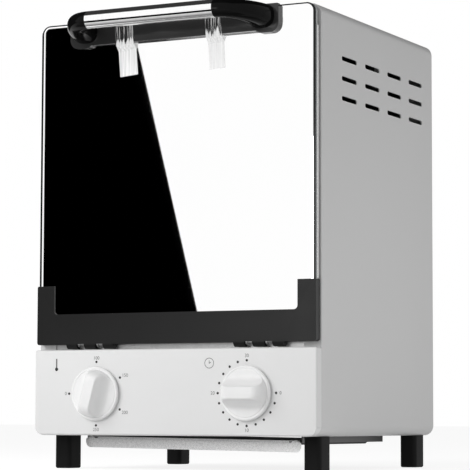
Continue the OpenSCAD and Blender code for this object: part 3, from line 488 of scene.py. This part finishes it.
def card(name, finish, corners):
    """A card between corners, which only mirrors see."""
    sheet = bmesh.new()
    sheet.faces.new([sheet.verts.new(corner) for corner in corners])
    mesh = bpy.data.meshes.new(name)
    sheet.to_mesh(mesh)
    sheet.free()
    mesh.materials.append(finish)
    board = bpy.data.objects.new(name, mesh)
    bpy.context.collection.objects.link(board)
    board.visible_camera = False
    board.visible_diffuse = False
    board.visible_shadow = False
    board.visible_transmission = False
    board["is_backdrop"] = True


def level_card(name, finish, left, right, front, back, height):
    """A level card, whose sizes are in metres from the origin."""
    card(name, finish, [(left, front, height), (right, front, height), (right, back, height),
                        (left, back, height)])


print("cards of", [finish.name for finish in (CARD_BLACK, CARD_DARK, CARD_GREY, CARD_WHITE)])

# %% [markdown]
# The slanted edge has to appear in the door from the camera's place. A flat mirror shows the same as an eye
# at the camera's mirror image would see through a window, so each corner of the flag lies on a line from that
# image through a point of the glass.

# %% The slanted flag
GLASS_LOW, GLASS_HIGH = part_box("door_glass")
FLAG_Y = -700


def mirrored(x, z):
    """Where the camera sees the flag's plane in the door, when it looks at the glass's point x, z."""
    point = Vector((place(x, 0, 0).x, GLASS_LOW.y, place(0, 0, z).z))
    image = Vector((EYE.x, 2 * GLASS_LOW.y - EYE.y, EYE.z))
    ray = point - image
    return image + ray * ((FACE_Y + FLAG_Y * MM - image.y) / ray.y)


slant_high = mirrored(-38.2, 320)
slant_low = mirrored(23.5, 82)
card("flag_left", CARD_BLACK, [slant_high, slant_low, mirrored(-190, 60), mirrored(-190, 330)])
print("slanted edge from", tuple(slant_high), "to", tuple(slant_low))

# %% The other cards
SIDE_X = -1.5
BARELY_UP = 0.002
level_card("flag_overhead", CARD_DARK, -4.0, 1.0, -0.86, 6.0, 1.32)
level_card("flag_strip", CARD_BLACK, -0.72, -0.20, -1.09, -0.49, BARELY_UP)
level_card("grey_apron", CARD_GREY, -0.60, 0.30, -0.49, FACE_Y, BARELY_UP)
card("flag_side", CARD_BLACK, [(SIDE_X, -0.80, 0.0), (SIDE_X, 2.6, 0.0), (SIDE_X, 2.6, 1.3),
                               (SIDE_X, -0.80, 1.3)])
GRIP_LOW, GRIP_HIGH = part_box("handle_grip")
grip_middle = (GRIP_LOW + GRIP_HIGH) / 2
before = GRIP_LOW.y - 6 * MM
low_z = grip_middle.z - 3.6 * MM
high_z = grip_middle.z + 3 * MM
card("grip_card", CARD_WHITE, [(-0.085, before, low_z), (0.02, before, low_z), (0.02, before, high_z),
                               (-0.085, before, high_z)])
print("white card before the grip from z", round(low_z, 4), "to", round(high_z, 4))

# %% [markdown]
# Three lamps light the oven. The large key lamp stands at the front left, so the right side falls into a soft
# shade. A low lamp lifts that side's lower half. A small window lamp before the door brightens the panel's
# right half, and it alone is also seen in mirrors, where it gives the black plastics their highlights.

# %% Lamps


def lamp(name, spot, aim, width, height, watts):
    """A plain white lamp that lights surfaces and is itself seen in no mirror."""
    data = bpy.data.lights.new(name, "AREA")
    data.shape = "RECTANGLE"
    data.size = width
    data.size_y = height
    data.energy = watts
    light = bpy.data.objects.new(name, data)
    bpy.context.collection.objects.link(light)
    light.location = spot
    light.rotation_euler = (aim - spot).to_track_quat("-Z", "Y").to_euler()
    light.visible_camera = False
    light.visible_glossy = False
    return light


lamp("key_lamp", Vector((-0.66, -0.95, 0.66)), place(0, 0, 120), 0.80, 0.80, 8.3)
lamp("low_lamp", Vector((0.62, -0.02, 0.05)), Vector((0.12, -0.02, 0.16)), 0.5, 0.1, 0.60)
window = lamp("window_lamp", Vector((-0.10, -0.80, 0.23)), place(60, 0, 110), 0.22, 0.22, 0.6)
window.visible_glossy = True
print("lamps", [light.name for light in bpy.data.lights])

# %% [markdown]
# ## Ways to make a piece
#
# Each new piece takes three facts: the body that it moves with, the finishes it wears, and the solid that it
# stands for, if any. A sharp edge never looks real, so most sheet and moulded solids are copied, their loose
# triangles merged, and their edges rounded by a small bevel.

# %% Piece helpers
BODY_OF = {name: body for body, names in frame["record"]["behaviour"]["bodies"].items() for name in names}


def piece_from(shape, name, finishes, body, solids=()):
    """Makes an object of a bmesh, gives it its finishes and ties it to a body."""
    mesh = bpy.data.meshes.new(name)
    shape.to_mesh(mesh)
    shape.free()
    for finish in finishes:
        mesh.materials.append(finish)
    piece = bpy.data.objects.new(name, mesh)
    bpy.context.collection.objects.link(piece)
    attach(piece, body)
    if solids:
        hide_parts(*solids)
    return piece


def stand_in(shape, name, finishes, node):
    """A piece that stands for one solid and moves with its body."""
    return piece_from(shape, name, finishes, BODY_OF[node], [node])


def smooth(piece, angle):
    """Shades a piece smoothly except across edges sharper than the angle."""
    mesh = piece.data
    mesh.shade_smooth()
    mesh.set_sharp_from_angle(angle=math.radians(angle))


# %% Copies with rounded edges
LOOSE = 4 * MICRON
FLAT_ANGLE = math.radians(0.3)
EDGE_ANGLE = 35


def merged(node):
    """A bmesh copy of a solid's mesh, with its loose triangles joined."""
    shape = bmesh.new()
    shape.from_mesh(frame["nodes"][node].data)
    bmesh.ops.remove_doubles(shape, verts=shape.verts, dist=LOOSE)
    bmesh.ops.dissolve_limit(shape, angle_limit=FLAT_ANGLE, verts=shape.verts, edges=shape.edges)
    return shape


def rounded_copy(node, finish, radius, segments=2):
    """Stands in for a solid with a copy whose edges are rounded by that many millimetres."""
    piece = stand_in(merged(node), node + "_rounded", [finish], node)
    bevel = piece.modifiers.new("round_edges", "BEVEL")
    bevel.width = radius * MM
    bevel.segments = segments
    bevel.limit_method = "ANGLE"
    bevel.angle_limit = math.radians(EDGE_ANGLE)
    bevel.harden_normals = True
    smooth(piece, EDGE_ANGLE)
    return piece


def dress(nodes, finish):
    """Gives solids that keep their shape a finish."""
    for node in nodes:
        for slot in frame["nodes"][node].material_slots:
            slot.material = finish


print("edges sharper than", EDGE_ANGLE, "degrees are rounded")

# %% [markdown]
# ## Sheet metal
#
# The folded pans and wraps keep their solids' shapes with edges rounded by a quarter of a millimetre, as
# powder coat leaves them. The crumb tray has two finishes: its front lip is bright, and the rest, which goes
# into the oven, is painted near-black as shade.

# %% Painted and bare sheet
LIP_DEPTH = 1.4
rounded_copy("outer_housing", housing_paint_darkened_as_shade, 0.25)
rounded_copy("control_panel", panel_paint, 0.2)
rounded_copy("back_panel", housing_paint_darkened_as_shade, 0.2)
tray = rounded_copy("crumb_tray", tray_sheet, 0.15)
# Behind its lip the tray wears the near-black sheet of painted shade.
tray.data.materials.append(tray_painted_shade)
lip_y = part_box("crumb_tray")[0].y + LIP_DEPTH * MM
for face in tray.data.polygons:
    face.material_index = int(face.center.y > lip_y)
rounded_copy("instrument_tray", brushed_steel, 0.2)
rounded_copy("door_strip_left", brushed_steel, 0.15)
rounded_copy("door_strip_right", brushed_steel, 0.15)
print("crumb tray's lip ends at y", round(lip_y, 4))

# %% [markdown]
# Rods, screws, springs and what else is round or small keep their solids' meshes and only take a finish. The
# base plate, the tray's rails and the shield behind the controls take a dark zinc whose darkness is painted
# shade, so that the underside stays dark where it shows between the feet.

# %% Solids that keep their shape
dress(["inner_chamber"], liner_sheet)
dress(["control_shield", "base_plate", "tray_rail_left", "tray_rail_right"], zinc_painted_shade)
dress(["hinge_bracket_left", "hinge_bracket_right", "hinge_pin_left", "hinge_pin_right", "hinge_spring_left",
       "hinge_spring_right", "back_screws", "panel_screws", "foot_screws", "foot_nuts", "trim_screws",
       "handle_screws", "thermostat_shaft", "timer_shaft", "timer_body"], zinc_steel)
dress(["heater_upper_front", "heater_upper_rear", "heater_lower_front", "heater_lower_rear"], heater_steel)
dress(["heater_bushes", "thermostat_body", "terminal_block"], ceramic)
dress(["timer_bell"], bell_brass)
dress(["cord_bush"], bush_rubber)
dress(["wire_rack"], rack_chrome)
dress(["handle_washers"], knob_plastic)
print("solids dressed")

# %% [markdown]
# The rubber feet are a little fuller than their solids. Each copy is scaled about its own middle in X and Y,
# and the left foot at the front sits a little further in.

# %% Feet
FULLER_X = 13.9 / 12.3
FULLER_Y = 19.2 / 16.5
FURTHER_IN = 1.3
for corner in ("front_left", "front_right", "rear_left", "rear_right"):
    foot = rounded_copy("foot_" + corner, foot_rubber, 0.3)
    low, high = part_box("foot_" + corner)
    middle = (low + high) / 2
    fuller = Matrix.Diagonal((FULLER_X, FULLER_Y, 1, 1))
    inward = Vector((FURTHER_IN * MM if corner == "front_left" else 0, 0, 0))
    foot.data.transform(Matrix.Translation(middle + inward) @ fuller @ Matrix.Translation(-middle))
print("feet", round(FULLER_X, 3), "times as wide and", round(FULLER_Y, 3), "times as deep as their solids")

# %% [markdown]
# ## Door
#
# The glass is built as a skin through rings, from its back to its face. Its edges are broken by 0.4 mm and
# its rim slopes back. The mirror film stops two millimetres short of the sides and one short of the top,
# which leaves a dark line round it. The film's own first millimetre and a half rises by a fifth of a
# millimetre to the flat face, and such a slight slope is enough to show another part of the studio.
#
# The slope and the flat face must not be shaded as one, or the flat mirror would bend. At the lower corners
# they meet at less than five degrees, while the steps of the corners' arcs are less than four, so the angle
# that parts them lies in between.

# %% Glass
BOTTOM_R = 2.0
TOP_R = 7.5
FACE_ANGLE = 4.3
FILM, DARK, GROUND = range(3)


def upright_outline(half, low, high, low_r, high_r, steps=24):
    """Points round an upright shape with its own radius for the lower and for the upper corners."""
    corners = ((half - low_r, low + low_r, low_r, -90), (half - high_r, high - high_r, high_r, 0),
               (high_r - half, high - high_r, high_r, 90), (low_r - half, low + low_r, low_r, 180))
    points = []
    for x, z, radius, start in corners:
        for step in range(steps + 1):
            angle = math.radians(start + 90 * step / steps)
            points.append((x + radius * math.cos(angle), z + radius * math.sin(angle)))
    return points


def glass_ring(inset, depth, drop=None):
    """One ring of the glass in mm: inset from its sides, lowered at its top, and behind its face."""
    drop = (inset if drop is None else drop) * MM
    inset *= MM
    outline = upright_outline(GLASS_HIGH.x - inset, GLASS_LOW.z + inset, GLASS_HIGH.z - drop,
                              BOTTOM_R * MM, TOP_R * MM - inset)
    return [(x, GLASS_LOW.y + depth * MM, z) for x, z in outline]


def skin(rings):
    """A closed bmesh through rings of points that all have the same count, with both ends capped."""
    shape = bmesh.new()
    loops = [[shape.verts.new(point) for point in ring] for ring in rings]
    for first, second in zip(loops, loops[1:]):
        for here, there in zip(range(-1, len(first)), range(len(first))):
            shape.faces.new((first[here], first[there], second[there], second[here]))
    shape.faces.new(loops[0][::-1])
    shape.faces.new(loops[-1])
    bmesh.ops.recalc_face_normals(shape, faces=shape.faces)
    return shape


thickness = (GLASS_HIGH.y - GLASS_LOW.y) / MM
rings = [glass_ring(0.4, thickness), glass_ring(0, thickness - 0.4), glass_ring(0, 0.60),
         glass_ring(0.30, 0.24, 0.2), glass_ring(2.0, 0.18, 1.1), glass_ring(3.5, 0, 2.3)]
glass_shape = skin(rings)
glass_shape.faces.ensure_lookup_table()
around = len(rings[0])
flat_face = (len(rings) - 1) * around + 1
finish_between = {2: DARK, 3: DARK, 4: FILM}
for face in glass_shape.faces:
    face.material_index = finish_between.get(face.index // around, GROUND)
glass_shape.faces[flat_face].material_index = FILM
glass = stand_in(glass_shape, "mirror_glass", [mirror_film, glass_edge, ground_glass], "door_glass")
smooth(glass, FACE_ANGLE)
rounded_copy("door_trim", trim_plastic, 0.35, 3)
print("door glass", tuple(glass.dimensions))

# %% [markdown]
# ## Handle
#
# Each arm starts as the round end of the grip and swells into a squarer root on the base plate, along a
# quarter turn. The rings of its skin are superellipses, whose power falls from round to squarish. The grip is
# a plain tube, so it starts as a cylinder that lies along X, with many sides for a mirror's sake.

# %% Handle arms
GRIP_R = (GRIP_HIGH.z - GRIP_LOW.z) / 2
GRIP_Y = GRIP_LOW.y + GRIP_R
PLATE_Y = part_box("handle_plate")[0].y
ROOT_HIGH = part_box("handle_arm_right")[1]
ROOT_W = 10.2 * MM
ROOT_H = 9.0 * MM
ARM_STEPS = 24


def arm_ring(side, turned, count=48):
    """One ring of an arm, after a share of its quarter turn, with power and size of its own."""
    angle = turned * math.pi / 2
    swell = turned * turned
    half_w = GRIP_R + swell * (ROOT_W - GRIP_R)
    half_h = GRIP_R + swell * (ROOT_H - GRIP_R)
    bend_x = ROOT_HIGH.x - ROOT_W - GRIP_HIGH.x
    bend_y = PLATE_Y - GRIP_Y
    middle_x = GRIP_HIGH.x + bend_x * math.sin(angle)
    middle_y = PLATE_Y - bend_y * math.cos(angle)
    middle_z = GRIP_HIGH.z - half_h
    heading = math.atan2(bend_y * math.sin(angle), bend_x * math.cos(angle))
    power = 1 - 0.25 * turned
    ring = []
    for step in range(count):
        a = 2 * math.pi * step / count
        across = half_w * math.copysign(abs(math.cos(a)) ** power, math.cos(a))
        up = half_h * math.copysign(abs(math.sin(a)) ** power, math.sin(a))
        ring.append((side * (middle_x + across * math.sin(heading)), middle_y - across * math.cos(heading),
                     middle_z + up))
    return ring


for side, label in ((-1, "left"), (1, "right")):
    arm_shape = skin([arm_ring(side, step / ARM_STEPS) for step in range(ARM_STEPS + 1)])
    arm = stand_in(arm_shape, "moulded_arm_" + label, [arm_plastic], "handle_arm_" + label)
    smooth(arm, 50)
    print("arm", label, tuple(arm.dimensions))

# %% Base plate, grip and tape
rounded_copy("handle_plate", plate_plastic, 0.8, 3)
lying = Matrix.Translation((grip_middle.x, GRIP_Y, grip_middle.z)) @ Matrix.Rotation(math.pi / 2, 4, "Y")
grip_shape = bmesh.new()
bmesh.ops.create_cone(grip_shape, cap_ends=True, cap_tris=False, segments=128, radius1=GRIP_R,
                      radius2=GRIP_R, depth=GRIP_HIGH.x - GRIP_LOW.x, matrix=lying)
grip = stand_in(grip_shape, "polished_grip", [grip_steel], "handle_grip")
smooth(grip, 30)
dress(["tape_strips"], tape_film)
print("grip", tuple(grip.dimensions))

# %% [markdown]
# ## Knobs
#
# A knob is a round pan with two hollows beside its grip. Each hollow falls steeply from the grip, runs out
# level, and rises again a little towards the rim. The surface is the smooth minimum of a dome and a hollow: a
# plain minimum leaves a knife edge along the grip, and the smooth one rounds it like a moulding.
# Its open back and undercut rim leave the thin shadow line that sets a real knob off from its panel.

# %% The knob's front
KNOB_R = 20.5
DOME_R = KNOB_R - 2.4
KNOB_WALL = 3.0
KNOB_RISE = 10.9
HOLLOW_EDGE = 4.4
HOLLOW_W = 9.2
HOLLOW_FLOOR = 2.8
HOLLOW_POWER = 2.5
HOLLOW_RUNOUT = 0.65
BLEND_W = 1.6


def smooth_minimum(first, second, width):
    """The lower of two numbers, with a rounded change between them."""
    near = max(width - abs(first - second), 0) / width
    return min(first, second) - near * near * width / 4


def knob_height(across, distance):
    """Height of the knob's front, that far from its grip's line and from its middle, in mm."""
    angle = min(math.acos(min(distance / DOME_R, 1)), math.radians(60))
    dome = KNOB_WALL + KNOB_RISE * math.sin(1.5 * angle)
    reach = (HOLLOW_EDGE + HOLLOW_W - abs(across)) / HOLLOW_W
    if reach > 0:
        hollow = HOLLOW_FLOOR + (KNOB_WALL + KNOB_RISE - HOLLOW_FLOOR) * reach ** HOLLOW_POWER
    else:
        hollow = HOLLOW_FLOOR + (KNOB_WALL - HOLLOW_FLOOR) * (reach / HOLLOW_RUNOUT) ** 2
    return smooth_minimum(dome, hollow, BLEND_W)


print("knob's height at its middle", round(knob_height(0, 0), 2), "mm")

# %% Knobs
RIM_ROUND = 1.4
RIM_STEPS = 8
DOME_STEPS = 56
KNOB_SIDES = 144


def knob_piece(node, turned):
    """The moulded knob on its shaft, turned clockwise by so many degrees."""
    low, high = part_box(node)
    middle = Vector(((low.x + high.x) / 2, high.y, (low.z + high.z) / 2))
    spin = Matrix.Rotation(math.radians(turned), 3, "Y")
    # From the bore outwards: the open back, the undercut rim, its rounded edge and then the dome.
    profile = [(3.4, 1.4), (KNOB_R - 2.6, 1.4), (DOME_R, 0), (KNOB_R - 0.9, 0), (KNOB_R, 0.9),
               (KNOB_R, KNOB_WALL - RIM_ROUND)]
    for step in range(1, RIM_STEPS + 1):
        a = step * math.pi / 2 / RIM_STEPS
        profile.append((KNOB_R - RIM_ROUND + RIM_ROUND * math.cos(a),
                        KNOB_WALL - RIM_ROUND + RIM_ROUND * math.sin(a)))
    profile += [(DOME_R * step / DOME_STEPS, None) for step in range(DOME_STEPS, 0, -1)]
    rings = []
    for radius, height in profile:
        ring = []
        for step in range(KNOB_SIDES):
            a = 2 * math.pi * step / KNOB_SIDES
            across, along = radius * math.sin(a), radius * math.cos(a)
            rise = knob_height(across, radius) if height is None else height
            ring.append(middle + spin @ Vector((across, -rise, along)) * MM)
        rings.append(ring)
    knob = stand_in(skin(rings), node + "_moulded", [knob_plastic], node)
    smooth(knob, 50)
    return knob


for node, turned in (("thermostat_knob", 15), ("timer_knob", 90)):
    print(node, tuple(knob_piece(node, turned).dimensions))

# %% [markdown]
# ## Prints on the panel
#
# The scales are dots and numerals on a circle round each knob. Text becomes a mesh first, and the print lies
# three hundredths of a millimetre before the paint.

# %% Ways to print
PRINT_Y = -0.03
NUMERAL_H = 2.5
CAPITAL_SHARE = 0.7
DOTS, LINES = range(2)
prints = bmesh.new()


def print_disc(x, z, radius):
    """A round dot, printed in the dense ink."""
    upright = Matrix.Translation(place(x, PRINT_Y, z)) @ Matrix.Rotation(math.pi / 2, 4, "X")
    disc = bmesh.ops.create_circle(prints, cap_ends=True, segments=24, radius=radius * MM, matrix=upright)
    disc["verts"][0].link_faces[0].material_index = DOTS


def print_bar(x, z, length, width, angle):
    """A straight bar that starts at a place and runs at an angle from the right."""
    along = Vector((math.cos(math.radians(angle)), 0, math.sin(math.radians(angle))))
    beside = Vector((-along.z, 0, along.x)) * (width / 2 * MM)
    start = place(x, PRINT_Y, z)
    end = start + along * length * MM
    corners = (start - beside, end - beside, end + beside, start + beside)
    prints.faces.new([prints.verts.new(point) for point in corners]).material_index = LINES


def print_ring(x, z, radius, width, steps=40):
    """A thin circle of short bars."""
    length = 2 * math.pi * radius / steps * 1.1
    for step in range(steps):
        a = 2 * math.pi * (step - 0.5) / steps
        print_bar(x + radius * math.cos(a), z + radius * math.sin(a), length, width, 360 * step / steps + 90)


def print_number(number, x, z):
    """A number whose middle is at x, z."""
    letters = bpy.data.curves.new("number", "FONT")
    letters.body = str(number)
    letters.size = NUMERAL_H / CAPITAL_SHARE * MM
    letters.align_x = "CENTER"
    letters.align_y = "CENTER"
    holder = bpy.data.objects.new("number", letters)
    flat = bpy.data.meshes.new_from_object(holder)
    flat.transform(Matrix.Translation(place(x, PRINT_Y, z)) @ Matrix.Rotation(math.pi / 2, 4, "X"))
    for face in flat.polygons:
        face.material_index = LINES
    prints.from_mesh(flat)
    bpy.data.objects.remove(holder)
    bpy.data.curves.remove(letters)
    bpy.data.meshes.remove(flat)


print("numerals", NUMERAL_H, "mm high")

# %% [markdown]
# The thermostat's five dots run from the left over the top to the foot of its circle, and the timer has a dot
# every 18 degrees. Each numeral stands outside its dot by a few millimetres of its own.

# %% Scales
KNOB_Z = 31.6
DOT_CIRCLE = 24.0
DOT_R = 0.95
TIMER_DOTS = 16
TIMER_STEP = -18
THERMOSTAT_X = -65.0
TIMER_X = 63.3
THERMOSTAT_SCALE = ((180, 0, -3.0, 0), (90, 100, 0, 2.9), (30, 150, 4.4, 1.7), (-30, 200, 4.4, -2.3),
                    (-90, 250, 0, -3.3))
TIMER_SCALE = ((0, 0, 3.6, 0), (-90, 10, 0, -3.3), (180, 20, -4.2, 0), (90, 30, 0, 3.4))


def dot_at(middle, degrees):
    """The middle of the scale's dot at an angle from the right."""
    angle = math.radians(degrees)
    return middle + DOT_CIRCLE * math.cos(angle), KNOB_Z + DOT_CIRCLE * math.sin(angle)


for degrees, number, right, up in THERMOSTAT_SCALE:
    x, z = dot_at(THERMOSTAT_X, degrees)
    print_disc(x, z, DOT_R)
    print_number(number, x + right, z + up)
for step in range(TIMER_DOTS):
    print_disc(*dot_at(TIMER_X, TIMER_STEP * step), DOT_R)
for degrees, number, right, up in TIMER_SCALE:
    x, z = dot_at(TIMER_X, degrees)
    print_number(number, x + right, z + up)
print("scales", len(prints.faces), "faces")

# %% [markdown]
# Two pictograms tell the scales apart: a thermometer, which is a bulb and a bar, and a clock, which is a thin
# circle with two hands.

# %% Pictograms
THERMOMETER_X = -100.5
CLOCK_X = 32.1
CLOCK_R = 3.7
HAND_W = 0.45
print_disc(THERMOMETER_X, 50.3, 1.4)
print_bar(THERMOMETER_X, 51.5, 6.8, 1.2, 90)
print_ring(CLOCK_X, 53.8, CLOCK_R, HAND_W)
print_bar(CLOCK_X, 53.5, 2.3, HAND_W, 90)
print_bar(CLOCK_X, 53.6, 1.7, HAND_W, 35)
print("prints", len(prints.faces), "faces")
piece_from(prints, "panel_prints", [dot_ink, numeral_ink], "housing")

# %% [markdown]
# ## Finish
#
# The last cell sets the view transform and prints the box round everything that is drawn.

# %% The visual box
bpy.context.scene.view_settings.view_transform = "Standard"
low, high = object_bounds()
print("visual box from", tuple(low), "to", tuple(high))
